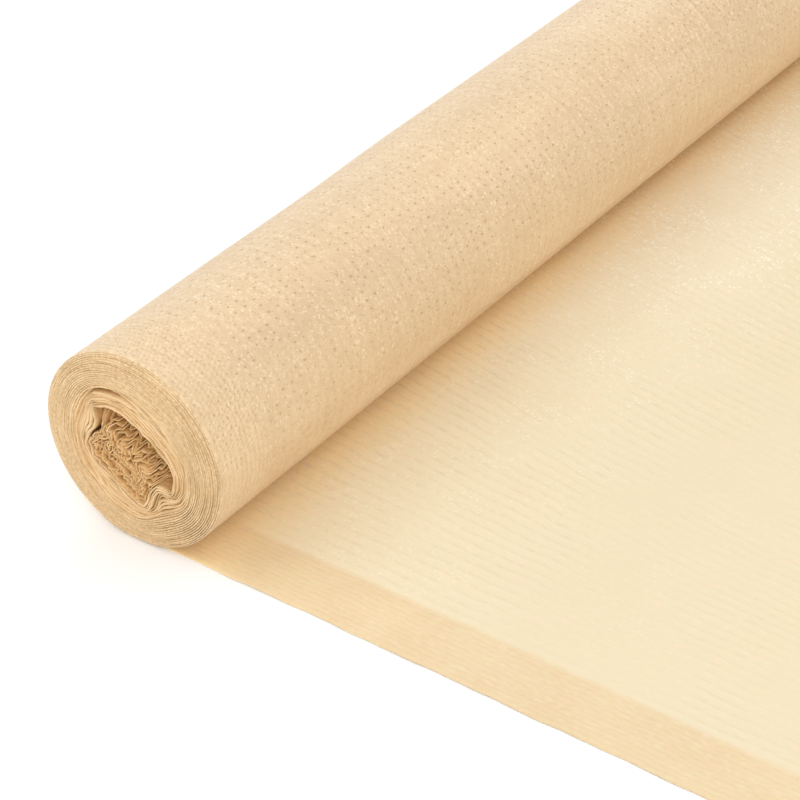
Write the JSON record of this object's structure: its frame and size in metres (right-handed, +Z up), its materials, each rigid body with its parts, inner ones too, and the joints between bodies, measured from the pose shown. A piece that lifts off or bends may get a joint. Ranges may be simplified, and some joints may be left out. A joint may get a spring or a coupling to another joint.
{
  "type": "privacy screen net",
  "caption": "Knitted screening net wound into a loose roll with a crumpled core, its outer end laid out flat beside it.",
  "frame": {"origin": "on the surface the roll rests on, under the middle of the roll's axis", "axes": "+Y along the roll from its near end to its far end, +X towards the laid-out end, +Z up"},
  "size_m": [0.5601, 1.0055, 0.1156],
  "materials": {
    "net_roll": "knitted polyethylene, cream to sand",
    "net_loose_end": "knitted polyethylene, single layer, cream"
  },
  "bodies": {
    "root": {"net_roll": "net_roll", "net_loose_end": "net_loose_end"}
  },
  "joints": []
}
